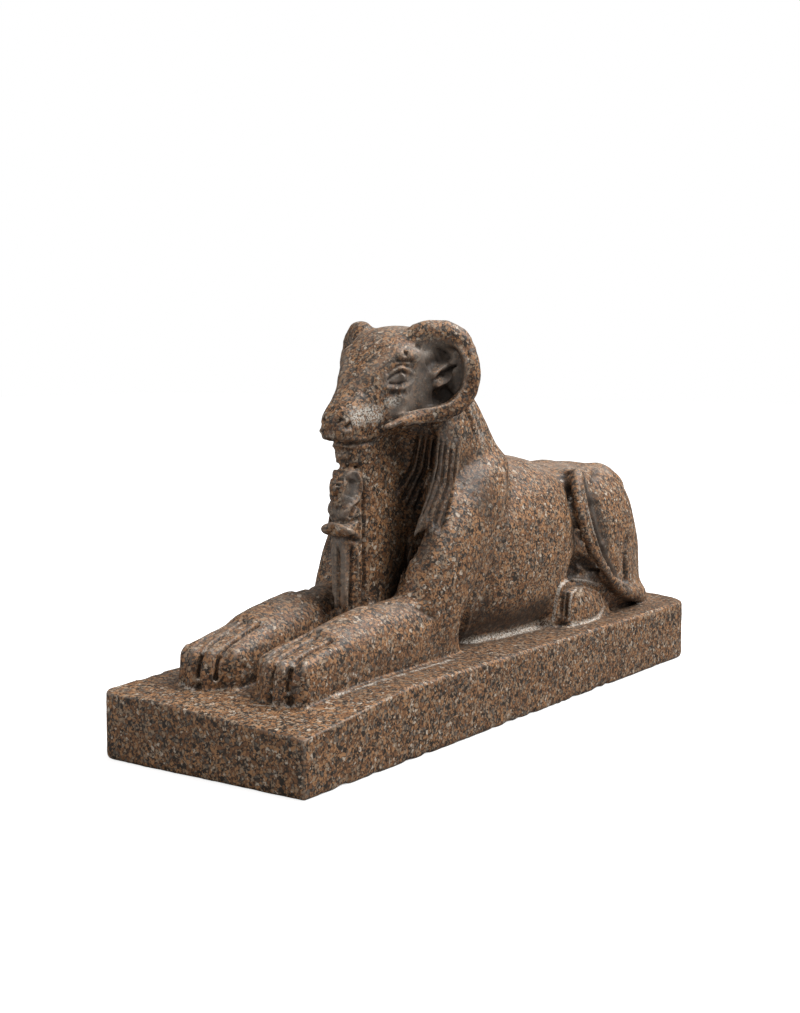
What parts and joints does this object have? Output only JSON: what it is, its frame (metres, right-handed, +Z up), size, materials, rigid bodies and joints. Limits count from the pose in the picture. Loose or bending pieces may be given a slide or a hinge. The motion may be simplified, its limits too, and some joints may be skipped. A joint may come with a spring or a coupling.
{
  "type": "ram-headed sphinx statuette",
  "caption": "Ram-headed sphinx lying on a low plinth with a small royal figure standing under its chin, all carved from one block of speckled granite.",
  "frame": {"origin": "centre of the plinth's underside", "axes": "+Z up, the animal looks along -Y, its left flank with the tail is on +X"},
  "size_m": [0.095, 0.311, 0.1585],
  "materials": {
    "granite": "semi-polished, with grey recesses and pale residue in the creases"
  },
  "bodies": {
    "root": {"ram_sphinx": "granite"}
  },
  "joints": []
}
